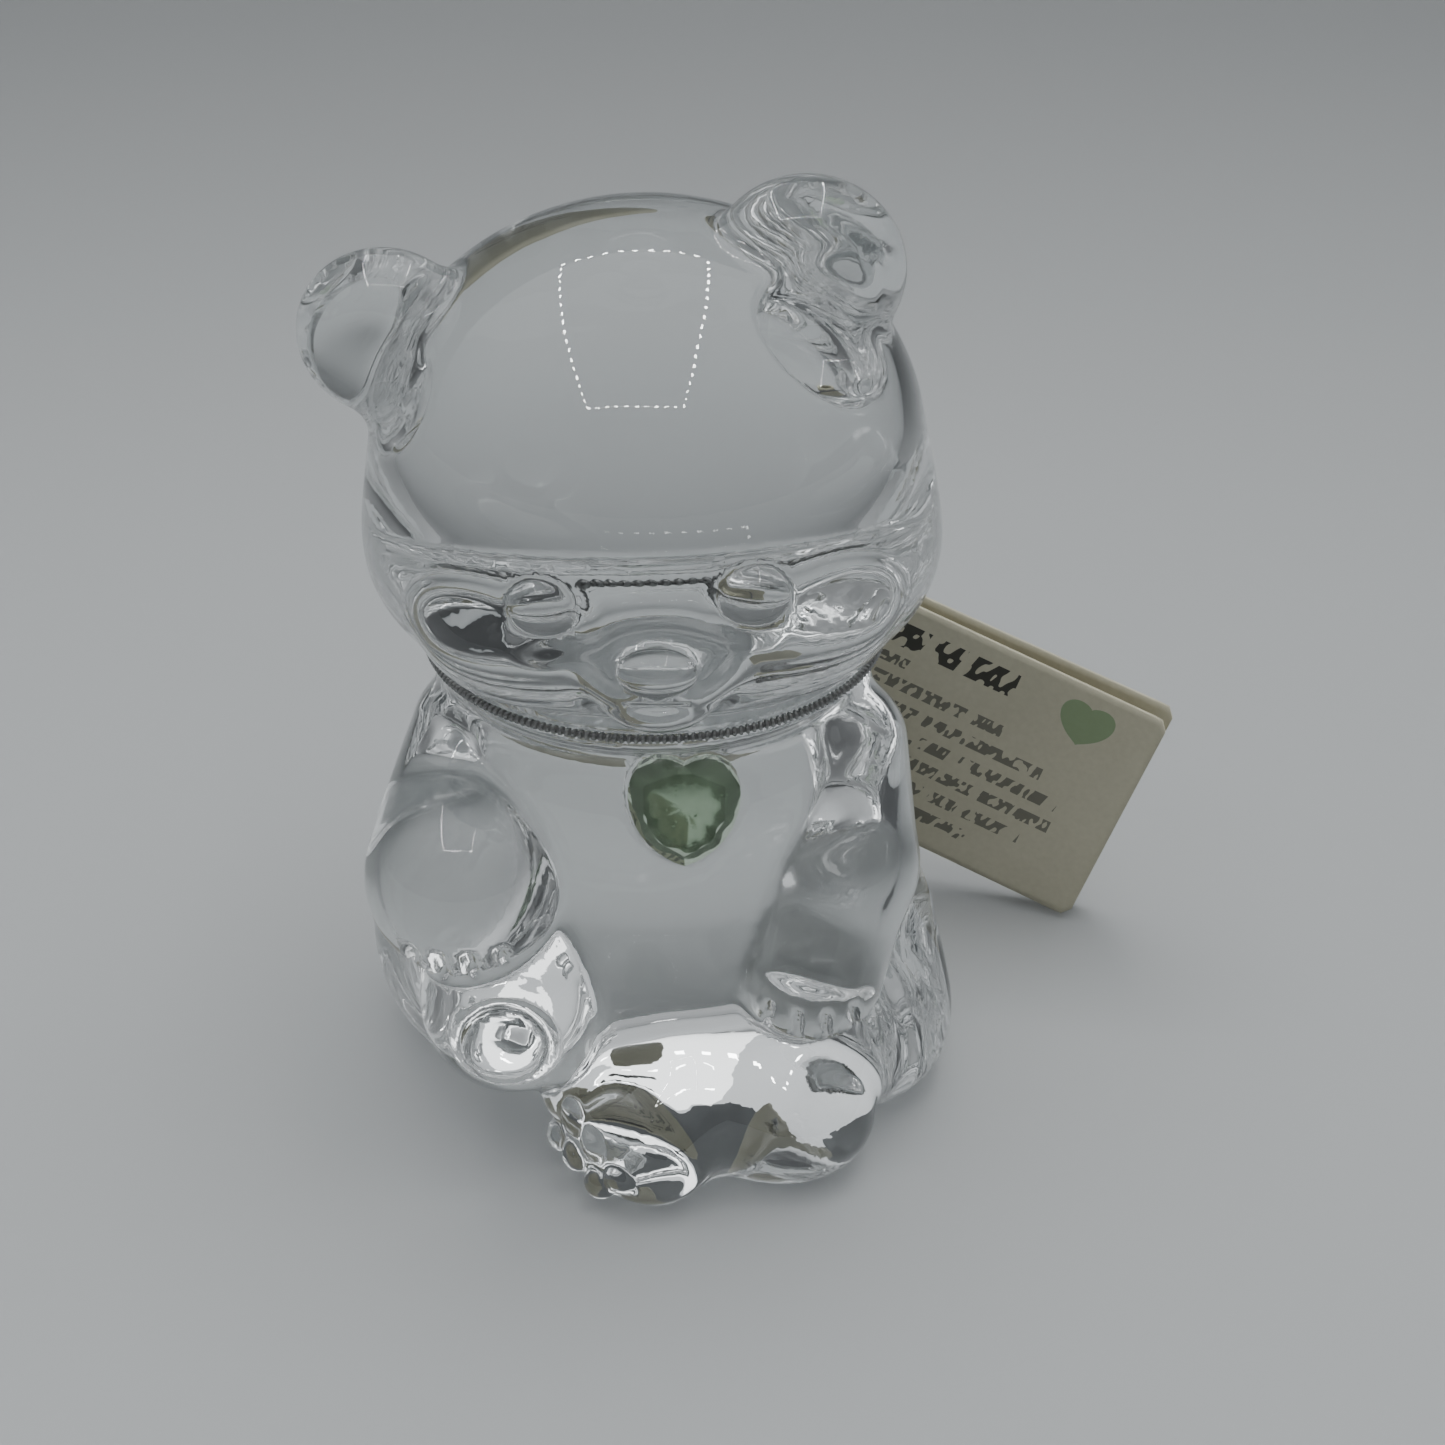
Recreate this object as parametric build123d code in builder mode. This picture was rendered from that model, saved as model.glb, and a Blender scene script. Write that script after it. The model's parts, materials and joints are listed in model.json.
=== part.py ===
# Sitting glass bear cub with a heart stone, a neck cord and a hanging folded card.
# Millimetres. +Z up, the bear faces -Y, the base rests on Z = 0.
import math
import os

from build123d import *

# ---- driving dimensions (mm, degrees) ----
HEAD_Z = 64.0  # head centre height
HEAD_RX = 24.2
HEAD_RY = 22.5
HEAD_RZ = 21.2
CHEEK_RX = 24.9
TORSO_RX = 23.5
TORSO_RY = 22.8
TORSO_TOP = 47.0
EAR_R = 8.0
EAR_CUP_R = 5.6

NECK_Z = 45.6  # height of the cord's circle on the neck axis
NECK_TILT = 5.0  # the cord's circle is higher at the throat than at the nape
CORD_RING_R = 20.6  # neck cord centreline
CORD_CORE_R = 0.25
CORD_WRAP_R = 0.45
GROOVE_GAP = 0.3  # cord to groove wall
COLLAR_LIP = 0.2  # the collar stands this far inside the cord's centreline

GEM_SIZE = 9.7  # across the heart's lobes
GEM_GIRDLE = 1.5  # straight-sided part
GEM_CROWN = 1.2  # bevelled part
GEM_BEVEL = 48.0  # bevel angle from the stone's axis
GEM_SIDE_GAP = 0.3  # stone to recess wall
GEM_SINK = 1.6  # recess depth below the stone's front girdle
GLUE_T = 0.15
GEM_X = 2.9
GEM_Y = -20.3
GEM_Z = 39.8
GEM_TILT = 20.0  # the stone's face looks up by this much

KNOT_R = 1.1
TAIL_R = 0.4
TAIL_LEN = 4.6
TIE_R = 0.25
TIE_GAP = 0.05  # running gap between the tie and its knot

CARD_W = 50.8
CARD_H = 28.0
CARD_T = 0.35
CARD_FOLD = 1.0  # clear space between the leaves at the fold
CARD_CORNER_R = 1.2
CARD_AJAR = 1.5  # the leaves stand this far open
CREASE_GAP = 0.06
HOLE_R = 0.9
HOLE_IN = 4.5  # hole centre from the fold
HOLE_DOWN = 4.0  # hole centre from the top edge
CARD_AZ = 70.0  # direction the card faces away from the neck axis
CARD_DIST = CORD_RING_R + 6.6  # card's plane from the neck axis
CARD_SHIFT = -1.7  # hole along the card's level direction
CARD_DROOP = 17.0  # the card's free end hangs this much
CARD_LIFT = 0.4  # lowest corner above the table

EAR_L = (-22.4, -0.5, 75.3)
EAR_R_AT = (13.2, 0.6, 80.4)


def egg(centre, radii, turn=(0, 0, 0)):
    """One closed egg-shaped solid."""
    with BuildPart() as blank:
        Sphere(1)
        scale(by=radii)
    return blank.part.moved(Location(centre, turn))


def limb(start, end, radius):
    """A long egg that reaches a radius past each of two points."""
    a = Vector(*start)
    b = Vector(*end)
    along = b - a
    lies = Plane(origin=(a + b) * 0.5, z_dir=along)
    with BuildPart() as blank:
        Sphere(1)
        scale(by=(radius, radius, along.length / 2 + radius * 0.85))
    return blank.part.moved(lies.location)


def neck_plane():
    """The tilted plane that holds the cord's circle."""
    t = math.radians(NECK_TILT)
    return Plane(origin=(0, 0, NECK_Z), x_dir=(1, 0, 0), z_dir=(0, math.sin(t), math.cos(t)))


def gem_plane():
    """The plane of the stone's girdle front, looking out of the chest."""
    t = math.radians(GEM_TILT)
    return Plane(origin=(GEM_X, GEM_Y, GEM_Z), x_dir=(1, 0, 0), z_dir=(0, -math.cos(t), math.sin(t)))


def card_frame():
    """Hole centre, level direction, upward direction and outward direction of the front leaf."""
    az = math.radians(CARD_AZ)
    droop = math.radians(CARD_DROOP)
    out = Vector(math.cos(az), math.sin(az), 0)
    level = Vector(math.sin(az), -math.cos(az), 0)
    up = Vector(0, 0, 1)
    along = level * math.cos(droop) - up * math.sin(droop)
    rise = level * math.sin(droop) + up * math.cos(droop)
    height = CARD_LIFT + (CARD_W - HOLE_IN) * math.sin(droop) + (CARD_H - HOLE_DOWN) * math.cos(droop)
    hole = out * CARD_DIST + level * CARD_SHIFT + up * height
    return hole, along, rise, out


def knot_point():
    """Centre of the knot, just outside the cord on the card's side."""
    plane = neck_plane()
    az = math.radians(CARD_AZ)
    reach = CORD_RING_R + CORD_WRAP_R + KNOT_R - 0.15
    return plane.from_local_coords(Vector(reach * math.cos(az), reach * math.sin(az), 0))


def torso():
    """Belly, haunches, legs and arms, cut flat at the base."""
    with BuildPart() as body:
        add(egg((0, 0.3, 20), (TORSO_RX, TORSO_RY, TORSO_TOP - 20)))
        add(egg((0, -2, 36), (20.5, 19, 13.5)))
        add(egg((-15, 1, 10.5), (13.3, 15.5, 15.0)))
        add(egg((14, -0.5, 9.5), (13.4, 15.5, 14.0)))
        # raised right leg with the sole and its pad to the front
        add(limb((-16, -6, 14), (-13, -18.5, 17), 8.7))
        add(egg((-13, -20.5, 19), (7.9, 6.0, 9.4), (-8, 0, 0)))
        add(egg((-13.3, -25.4, 17.6), (4.3, 2.0, 4.5), (-8, 0, 0)))
        # left leg bent flat in front, with two rows of toes
        add(limb((19, -9.5, 7.4), (4, -21.5, 7.4), 9.0))
        add(egg((10, -19, 5.6), (11, 8.5, 7.8), (0, 0, -30)))
        add(egg((-2.6, -24, 5.2), (8.2, 4.8, 6.4), (0, 0, -48)))
        for toe in ((-8.4, -21.6, 6.8), (-6.9, -24.2, 7.4), (-5.0, -26.7, 6.6), (-2.9, -28.9, 4.6)):
            add(egg(toe, (1.7, 1.7, 1.8)))
        for toe in ((-8.6, -22.4, 3.6), (-7.0, -25.3, 3.9), (-4.9, -27.9, 3.0)):
            add(egg(toe, (1.7, 1.7, 1.8)))
        # right arm, resting on the raised leg
        add(limb((-15.5, -6, 38), (-17.4, -12, 32), 7.2))
        add(egg((-16.8, -18.3, 31), (8.6, 8.4, 9.2)))
        for claw in ((-19.2, -24.2, 26.6), (-16.0, -25.2, 26.4), (-12.8, -24.6, 27.2)):
            add(egg(claw, (1.5, 2.0, 3.2), (-30, 0, 0)))
        # left arm, hanging down onto the thigh
        add(limb((16.2, -8, 38), (17.0, -14, 30), 7.0))
        add(limb((16.4, -15, 29), (14.2, -18.8, 21), 6.8))
        for claw in ((10.6, -22.4, 18), (13.2, -23.8, 17), (16.0, -23.6, 17.2), (18.6, -21.8, 18.4)):
            add(egg(claw, (1.4, 1.9, 3.2)))
        split(bisect_by=Plane.XY)
    return body.part


def head():
    """Skull, cheeks, muzzle, nose, eyes and cupped ears."""
    with BuildPart() as skull:
        add(egg((-0.3, 0.8, HEAD_Z), (HEAD_RX, HEAD_RY, HEAD_RZ)))
        add(egg((0.2, -4.6, HEAD_Z - 6.4), (CHEEK_RX, 18.6, 12.4), (8, 0, 0)))
        add(egg((-9.8, -15, HEAD_Z - 8.4), (9.2, 7.8, 6.4)))
        add(egg((11, -14.6, HEAD_Z - 7.4), (9.2, 7.8, 6.4)))
        add(egg((0.9, -20.6, HEAD_Z - 8.8), (6.4, 6.0, 4.9)))
        add(egg((0.9, -22.6, HEAD_Z - 11), (4.6, 3.6, 2.4)))
        add(egg((0.9, -26.4, HEAD_Z - 6), (3.3, 1.9, 2.1)))
        for x, z in ((-8.2, HEAD_Z - 3.2), (8.6, HEAD_Z - 2)):
            add(egg((x, -24.6, z - 0.4), (4.4, 2.9, 4.0)), mode=Mode.SUBTRACT)
            add(egg((x, -20.8, z), (3.1, 2.0, 2.5)))
        x, y, z = EAR_L
        add(egg((x, y, z), (EAR_R * 0.93, 4.6, EAR_R * 0.93), (0, -25, 0)))
        add(egg((x - 0.4, y - 5.3, z), (EAR_CUP_R * 0.95, 4.4, EAR_CUP_R * 0.95)), mode=Mode.SUBTRACT)
        x, y, z = EAR_R_AT
        add(egg((x, y, z), (EAR_R * 1.04, 4.9, EAR_R * 1.04), (0, 25, 0)))
        add(egg((x + 0.5, y - 5.5, z), (EAR_CUP_R * 1.05, 4.6, EAR_CUP_R * 1.05)), mode=Mode.SUBTRACT)
    return skull.part


def heart_face(plane, grow):
    """A heart on a plane, grown outwards by an amount."""
    lobe = GEM_SIZE * 0.31 + grow
    cx = GEM_SIZE * 0.19
    cy = GEM_SIZE * 0.19
    tip = -GEM_SIZE * 0.505 - grow * 1.35
    # tangent points from the tip to the right-hand lobe
    dx = cx
    dy = cy - tip
    far = math.hypot(dx, dy)
    turn = math.acos(lobe / far)
    base = math.atan2(-dy, -dx)
    px = cx + lobe * math.cos(base + turn)
    py = cy + lobe * math.sin(base + turn)
    with BuildSketch(plane) as flat:
        with Locations((cx, cy), (-cx, cy)):
            Circle(lobe)
        Polygon((0, tip), (px, py), (cx, cy), (-cx, cy), (-px, py), align=None)
    return flat.sketch


def build_bear():
    """The one-piece clear glass casting."""
    plane = neck_plane()
    collar = egg((0, 0, 0), (CORD_RING_R - COLLAR_LIP, CORD_RING_R - COLLAR_LIP, 7.0), (0, 0, 90))
    with BuildPart() as groove:
        Torus(CORD_RING_R, CORD_WRAP_R + GROOVE_GAP)
    with BuildPart() as body:
        add(torso())
        add(collar.moved(plane.location))
    with BuildPart() as bear:
        add(body.part)
        add(head())
        # groove that the neck cord lies in
        add(groove.part.moved(plane.location), mode=Mode.SUBTRACT)
    with BuildPart() as cast:
        add(bear.part)
        # heart-shaped recess for the stone
        floor = gem_plane().offset(-GEM_SINK)
        extrude(heart_face(floor, GEM_SIDE_GAP), amount=GEM_SINK + 12, mode=Mode.SUBTRACT)
    return cast.part


def build_gem():
    """Heart stone with a flat back and a bevelled front."""
    back = gem_plane().offset(-GEM_SINK + GLUE_T)
    with BuildPart() as gem:
        extrude(heart_face(back, 0), amount=GEM_GIRDLE)
        extrude(heart_face(back.offset(GEM_GIRDLE), 0), amount=GEM_CROWN, taper=GEM_BEVEL)
    return gem.part


def build_glue():
    """Thin clear adhesive between the stone's back and the recess floor."""
    with BuildPart() as glue:
        extrude(heart_face(gem_plane().offset(-GEM_SINK), -0.5), amount=GLUE_T)
    return glue.part


def build_cord_core():
    """Elastic core of the neck cord."""
    with BuildPart() as core:
        Torus(CORD_RING_R, CORD_CORE_R)
    return core.part.moved(neck_plane().location)


def build_cord_wrap():
    """Metallic wrap around the elastic core."""
    with BuildPart() as wrap:
        Torus(CORD_RING_R, CORD_WRAP_R)
        Torus(CORD_RING_R, CORD_CORE_R, mode=Mode.SUBTRACT)
    return wrap.part.moved(neck_plane().location)


def build_knot():
    """Knot that closes the neck cord at the back."""
    with BuildPart() as cord:
        Torus(CORD_RING_R, CORD_WRAP_R)
    with BuildPart() as knot:
        add(egg(tuple(knot_point()), (KNOT_R, KNOT_R, KNOT_R)))
        add(cord.part.moved(neck_plane().location), mode=Mode.SUBTRACT)
    return knot.part


def build_tails():
    """Two short cut cord ends that stand out of the knot."""
    hole, along, rise, out = card_frame()
    level = Vector(out.Y, -out.X, 0)
    up = Vector(0, 0, 1)
    centre = knot_point()
    with BuildPart() as tails:
        for side, lift in ((1, 0.9), (-1, 0.7)):
            way = (out * 0.7 + level * side + up * lift).normalized()
            with BuildSketch(Plane(origin=centre + way * (KNOT_R * 0.6), z_dir=way)):
                Circle(TAIL_R)
            extrude(amount=TAIL_LEN)
        add(egg(tuple(centre), (KNOT_R, KNOT_R, KNOT_R)), mode=Mode.SUBTRACT)
    return tails.part


def build_tie():
    """Thin cord loop from the knot through the card's hole."""
    hole, along, rise, out = card_frame()
    up = Vector(0, 0, 1)
    knot = knot_point()
    low = hole
    front = low - out * 0.85
    back = low + out * 0.75
    top = 5.2
    to_knot = (knot - (low + up * top)).normalized()
    start = knot - to_knot * (KNOT_R * 0.6)
    with BuildPart() as tie:
        with BuildLine() as path:
            Spline(
                start,
                front + up * (top - 0.4),
                front + up * 2.2,
                low,
                back + up * 2.2,
                back + up * (top - 0.6),
                start + up * 0.5 + out * 0.6,
            )
        with BuildSketch(Plane(origin=path.line @ 0, z_dir=path.line % 0)):
            Circle(TIE_R)
        sweep()
        add(egg(tuple(knot), (KNOT_R + TIE_GAP,) * 3), mode=Mode.SUBTRACT)
    return tie.part


def leaf_blank(corner, along, face):
    """One flat leaf from its lower crease corner, the free corners rounded."""
    with BuildPart() as leaf:
        with BuildSketch(Plane(origin=corner + face * CARD_T, x_dir=along, z_dir=-face)):
            with Locations((CARD_W / 2, CARD_H / 2)):
                Rectangle(CARD_W, CARD_H)
        extrude(amount=CARD_T)
        corners = leaf.edges().filter_by(Axis(corner, face)).sort_by(Axis(corner, along))
        fillet(corners[-2:], radius=CARD_CORNER_R)
    return leaf.part


def build_front_leaf():
    """Front leaf with the tie hole, and the fold that turns back from it."""
    hole, along, rise, out = card_frame()
    corner = hole - along * HOLE_IN - rise * (CARD_H - HOLE_DOWN) - out * (CARD_T / 2)
    web = CARD_T + CARD_FOLD - CREASE_GAP
    with BuildPart() as leaf:
        add(leaf_blank(corner, along, out))
        with BuildSketch(Plane(origin=corner, x_dir=along, z_dir=rise)):
            with Locations((CARD_T / 2, web / 2)):
                Rectangle(CARD_T, web)
        extrude(amount=CARD_H)
        with BuildSketch(Plane(origin=hole - out * 1.0, z_dir=out)):
            Circle(HOLE_R)
        extrude(amount=1.6, mode=Mode.SUBTRACT)
    return leaf.part


def build_back_leaf():
    """Back leaf, standing a little open, with a rounded edge at the crease."""
    hole, along, rise, out = card_frame()
    corner = hole - along * HOLE_IN - rise * (CARD_H - HOLE_DOWN) - out * (CARD_T / 2)
    crease = corner + along * (CARD_T / 2) + out * (CARD_T + CARD_FOLD + CARD_T / 2)
    a = math.radians(CARD_AJAR)
    swung = along * math.cos(a) + out * math.sin(a)
    face = out * math.cos(a) - along * math.sin(a)
    with BuildPart() as leaf:
        add(leaf_blank(crease - face * (CARD_T / 2), swung, face))
        with BuildSketch(Plane(origin=crease, x_dir=along, z_dir=rise)):
            Circle(CARD_T / 2)
        extrude(amount=CARD_H)
    return leaf.part


PIECES = [
    ("glass_bear", build_bear),
    ("gem_adhesive", build_glue),
    ("heart_gem", build_gem),
    ("neck_cord_core", build_cord_core),
    ("neck_cord_wrap", build_cord_wrap),
    ("cord_knot", build_knot),
    ("cord_tails", build_tails),
    ("tie_loop", build_tie),
    ("tag_front_leaf", build_front_leaf),
    ("tag_back_leaf", build_back_leaf),
]

os.makedirs("parts", exist_ok=True)
for name, make in PIECES:
    piece = make()
    piece.label = name
    export_step(piece, "parts/" + name + ".step")
    box = piece.bounding_box()
    print(name, "solids", len(piece.solids()), "volume", round(piece.volume, 2), "box", box)
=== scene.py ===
# %% [markdown]
# # A clear glass bear cub with a heart stone, a neck cord and a folded card
# The CAD model is the fixed frame: every piece below is placed from its boxes and joints,
# and rides on one of its bodies. Lengths in this file are millimetres until they are
# multiplied by MM, which turns them into Blender's metres.

# %% Load the frame and keep its box
import json
import math
import bmesh
import bpy
import numpy as np
import openvdb
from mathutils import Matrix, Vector


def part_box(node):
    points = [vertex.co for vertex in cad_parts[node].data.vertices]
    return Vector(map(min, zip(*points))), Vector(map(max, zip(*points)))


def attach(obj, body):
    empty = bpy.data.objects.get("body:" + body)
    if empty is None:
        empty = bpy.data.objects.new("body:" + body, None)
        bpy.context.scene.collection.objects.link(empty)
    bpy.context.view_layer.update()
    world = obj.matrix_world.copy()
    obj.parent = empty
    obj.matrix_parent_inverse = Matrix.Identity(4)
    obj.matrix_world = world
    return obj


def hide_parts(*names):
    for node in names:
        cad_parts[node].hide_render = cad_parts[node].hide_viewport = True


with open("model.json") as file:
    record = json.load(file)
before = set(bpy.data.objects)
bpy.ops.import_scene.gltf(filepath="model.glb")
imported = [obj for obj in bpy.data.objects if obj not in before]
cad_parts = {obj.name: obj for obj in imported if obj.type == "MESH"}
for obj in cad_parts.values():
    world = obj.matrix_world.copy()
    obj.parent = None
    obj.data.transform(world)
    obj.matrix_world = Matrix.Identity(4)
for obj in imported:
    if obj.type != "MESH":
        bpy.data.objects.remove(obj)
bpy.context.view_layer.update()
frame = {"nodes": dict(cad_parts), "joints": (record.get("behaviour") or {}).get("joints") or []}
MM = 0.001
glass_low, glass_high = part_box("glass_bear")
print("glass box, mm:", [round(v / MM, 1) for v in (*glass_low, *glass_high)])

# %% [markdown]
# ## Camera
# The figurine is seen from a little above, so the camera looks down at 35 degrees along +Y.
# A modest telephoto lens keeps the head from swelling. It is made first.

# %% Camera
camera_data = bpy.data.cameras.new("camera")
camera_data.lens = 62.66
camera_data.sensor_width = 36.0
camera_data.clip_start = 0.01
camera = bpy.data.objects.new("camera", camera_data)
camera.location = Vector((6.17, -192.99, 169.87)) * MM
camera.rotation_euler = (math.radians(90 - 35), 0, 0)
bpy.context.scene.collection.objects.link(camera)
bpy.context.scene.camera = camera
print("camera at", [round(v, 3) for v in camera.location])


# %% [markdown]
# ## Table and light
# Clear glass has no colour of its own: it shows the room bent through it. So the room matters
# as much as the glass. Here it is a pale grey sweep under a sky that is bright above, dim at the
# horizon and dimmest in front, which gives the glass its dark edges. A rectangular frame of
# small bright dots hangs over the table: it draws the bright outlines on the brow and nose.

# %% Helper: a new mesh object
def new_object(name, verts, faces, smooth=True):
    mesh = bpy.data.meshes.new(name)
    mesh.from_pydata([tuple(v) for v in verts], [], [tuple(f) for f in faces])
    mesh.validate()
    if smooth:
        mesh.polygons.foreach_set("use_smooth", [True] * len(mesh.polygons))
    made = bpy.data.objects.new(name, mesh)
    bpy.context.scene.collection.objects.link(made)
    return made


# %% Helper: a node material with its main shader
def new_material(name):
    made = bpy.data.materials.new(name)
    made.use_nodes = True
    shader = made.node_tree.nodes["Principled BSDF"]
    return made, made.node_tree, shader


# %% Helpers: noise in the object's own space, and what it drives
def add_noise(tree, scale, detail=2.0):
    coords = tree.nodes.new("ShaderNodeTexCoord")
    noise = tree.nodes.new("ShaderNodeTexNoise")
    noise.inputs["Scale"].default_value = scale
    noise.inputs["Detail"].default_value = detail
    tree.links.new(coords.outputs["Object"], noise.inputs["Vector"])
    return noise.outputs["Fac"]


def add_ramp(tree, value, dark, light):
    ramp = tree.nodes.new("ShaderNodeValToRGB")
    ramp.color_ramp.elements[0].color = (*dark, 1)
    ramp.color_ramp.elements[1].color = (*light, 1)
    tree.links.new(value, ramp.inputs["Fac"])
    return ramp


def add_bump(tree, shader, height, strength, distance):
    bump = tree.nodes.new("ShaderNodeBump")
    bump.inputs["Strength"].default_value = strength
    bump.inputs["Distance"].default_value = distance
    tree.links.new(height, bump.inputs["Height"])
    tree.links.new(bump.outputs["Normal"], shader.inputs["Normal"])


# %% The sweep: a table top that curves up behind
SWEEP_REACH, BEND_AT, BEND_R, SWEEP_TOP = 6000.0, 500.0, 300.0, 1100.0
FLOOR_GAP = 0.06  # a hair below the glass, so light can reach its foot
profile = [(-SWEEP_REACH, 0.0), (BEND_AT, 0.0)]
for k in range(1, 13):
    a = math.radians(90 * k / 12)
    profile.append((BEND_AT + BEND_R * math.sin(a), BEND_R - BEND_R * math.cos(a)))
profile.append((BEND_AT + BEND_R, SWEEP_TOP))
verts, faces = [], []
for x in (-SWEEP_REACH, SWEEP_REACH):
    verts += [(x * MM, y * MM, (z - FLOOR_GAP) * MM) for y, z in profile]
n = len(profile)
for k in range(n - 1):
    faces.append((k, k + n, k + n + 1, k + 1))
floor = new_object("floor", verts, faces)
paper, tree, shader = new_material("backdrop_paper")
ramp = add_ramp(tree, add_noise(tree, 2.5, 4.0), (0.445, 0.46, 0.465), (0.495, 0.51, 0.515))
# painted shade: the paper's colour is scaled down from full to two thirds between 20 mm and 340 mm
# behind the bear, standing in for the shadow that falls at the back
coords = tree.nodes.new("ShaderNodeTexCoord")
place = tree.nodes.new("ShaderNodeSeparateXYZ")
far_shade = tree.nodes.new("ShaderNodeMapRange")
far_shade.interpolation_type = "SMOOTHSTEP"
far_shade.inputs["From Min"].default_value = 0.02
far_shade.inputs["From Max"].default_value = 0.34
far_shade.inputs["To Min"].default_value = 1.0
far_shade.inputs["To Max"].default_value = 0.66
shaded = tree.nodes.new("ShaderNodeVectorMath")
shaded.operation = "SCALE"
tree.links.new(coords.outputs["Object"], place.inputs["Vector"])
tree.links.new(place.outputs["Y"], far_shade.inputs["Value"])
tree.links.new(ramp.outputs["Color"], shaded.inputs[0])
tree.links.new(far_shade.outputs["Result"], shaded.inputs["Scale"])
tree.links.new(shaded.outputs["Vector"], shader.inputs["Base Color"])
shader.inputs["Roughness"].default_value = 0.55
shader.inputs["Specular IOR Level"].default_value = 0.3
floor.data.materials.append(paper)
print("floor", len(floor.data.polygons), "faces")


# %% Helper: one rectangular light aimed at a point
def soft_light(name, place, aim, size, power):
    data = bpy.data.lights.new(name, "AREA")
    data.shape = "RECTANGLE"
    data.size, data.size_y = size[0] * MM, size[1] * MM
    data.energy = power
    lamp = bpy.data.objects.new(name, data)
    lamp.location = Vector(place) * MM
    lamp.rotation_euler = (Vector(aim) * MM - lamp.location).to_track_quat("-Z", "Y").to_euler()
    bpy.context.scene.collection.objects.link(lamp)
    return lamp


# %% The room: bright above, dim at the horizon
world = bpy.data.worlds.new("room")
world.use_nodes = True
bpy.context.scene.world = world
tree = world.node_tree
back = tree.nodes["Background"]
back.inputs["Strength"].default_value = 1.0
coords = tree.nodes.new("ShaderNodeTexCoord")
height = tree.nodes.new("ShaderNodeSeparateXYZ")
ramp = tree.nodes.new("ShaderNodeValToRGB")
ramp.color_ramp.interpolation = "EASE"
ramp.color_ramp.elements[0].color = (0.19, 0.20, 0.21, 1)
ramp.color_ramp.elements[1].color = (1.08, 1.11, 1.14, 1)
ramp.color_ramp.elements[0].position = 0.12
ramp.color_ramp.elements[1].position = 0.92
tree.links.new(coords.outputs["Generated"], height.inputs["Vector"])
front = tree.nodes.new("ShaderNodeMapRange")
front.interpolation_type = "SMOOTHSTEP"
front.inputs["From Min"].default_value = -0.85
front.inputs["From Max"].default_value = 0.1
front.inputs["To Min"].default_value = 0.28
front.inputs["To Max"].default_value = 1.0
toned = tree.nodes.new("ShaderNodeVectorMath")
toned.operation = "SCALE"
tree.links.new(height.outputs["Z"], ramp.inputs["Fac"])
tree.links.new(height.outputs["Y"], front.inputs["Value"])
tree.links.new(ramp.outputs["Color"], toned.inputs[0])
tree.links.new(front.outputs["Result"], toned.inputs["Scale"])
tree.links.new(toned.outputs["Vector"], back.inputs["Color"])

# %% A soft lamp overhead, kept out of reflections
middle = (0, 0, 45)
lamp = soft_light("overhead", (60, 120, 620), middle, (520, 420), 1.2)
lamp.visible_glossy = False


# %% The frame of light: four strips of small bright dots round a rectangle
def dotted(lamp, dots):
    """Makes a strip shine as a row of dots along its longer side."""
    lamp.data.use_nodes = True
    tree = lamp.data.node_tree
    glow = tree.nodes["Emission"]
    shape = tree.nodes.new("ShaderNodeNewGeometry")
    split = tree.nodes.new("ShaderNodeSeparateXYZ")
    scale = tree.nodes.new("ShaderNodeMath")
    scale.operation = "MULTIPLY"
    scale.inputs[1].default_value = dots
    part = tree.nodes.new("ShaderNodeMath")
    part.operation = "FRACT"
    lit = tree.nodes.new("ShaderNodeMath")
    lit.operation = "LESS_THAN"
    lit.inputs[1].default_value = 0.35
    power = tree.nodes.new("ShaderNodeMath")
    power.operation = "MULTIPLY"
    power.inputs[1].default_value = 3.2
    longer = "X" if lamp.data.size > lamp.data.size_y else "Y"
    tree.links.new(shape.outputs["Parametric"], split.inputs["Vector"])
    tree.links.new(split.outputs[longer], scale.inputs[0])
    tree.links.new(scale.outputs[0], part.inputs[0])
    tree.links.new(part.outputs[0], lit.inputs[0])
    tree.links.new(lit.outputs[0], power.inputs[0])
    tree.links.new(power.outputs[0], glow.inputs["Strength"])


frame_centre = Vector((-20, -14, 300))
for k, (dx, dy, long_side, dots) in enumerate(((-92, 0, 370, 18), (92, 0, 370, 18),
                                               (0, -185, 185, 10), (0, 185, 185, 10))):
    where = frame_centre + Vector((dx, dy, 0))
    size = (3, long_side) if dy == 0 else (long_side, 3)
    strip = soft_light("strip_%d" % k, where, where - Vector((0, 0, 1)), size, 0.00028 * long_side)
    strip.rotation_euler = (0, 0, 0)
    dotted(strip, dots)

# %% Light paths: solid glass bends a ray many times before it leaves
cycles = bpy.context.scene.cycles
cycles.max_bounces = 40
cycles.transmission_bounces = 40
cycles.glossy_bounces = 40
print("bounces", cycles.max_bounces)

# %% [markdown]
# ## Clear glass
# The bear is one solid casting of pressed glass. Its skin was fire-polished, so it is glossy
# but not optically flat: long shallow ripples from the mould bend what is seen through it.
# A bump of two noises gives those ripples; the shader is full transmission at an index of 1.52.

# %% Glass material
glass, tree, shader = new_material("clear_glass")
shader.inputs["Base Color"].default_value = (0.81, 0.83, 0.83, 1)
shader.inputs["Transmission Weight"].default_value = 1.0
shader.inputs["IOR"].default_value = 1.52
shader.inputs["Roughness"].default_value = 0.012
wide = add_noise(tree, 70.0, 1.5)
fine = add_noise(tree, 420.0)
mix = tree.nodes.new("ShaderNodeMath")
mix.operation = "MULTIPLY_ADD"
mix.inputs[1].default_value = 0.12
tree.links.new(fine, mix.inputs[0])
tree.links.new(wide, mix.inputs[2])
add_bump(tree, shader, mix.outputs[0], 0.09, 0.0006)
print("glass ready")

# %% [markdown]
# ## The bear
# A cast glass animal has no sharp inside corners: the mould was cut with rounded tools and the
# glass sagged a little before it set. Joined spheres would show hard creases, so the body is
# written as a distance field: soft unions of eggs and rods, with soft cuts for the ear cups,
# eye hollows and claw grooves. The field is sampled on a half-millimetre grid, turned into a
# mesh, and each vertex is then moved exactly onto the zero surface.

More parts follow.
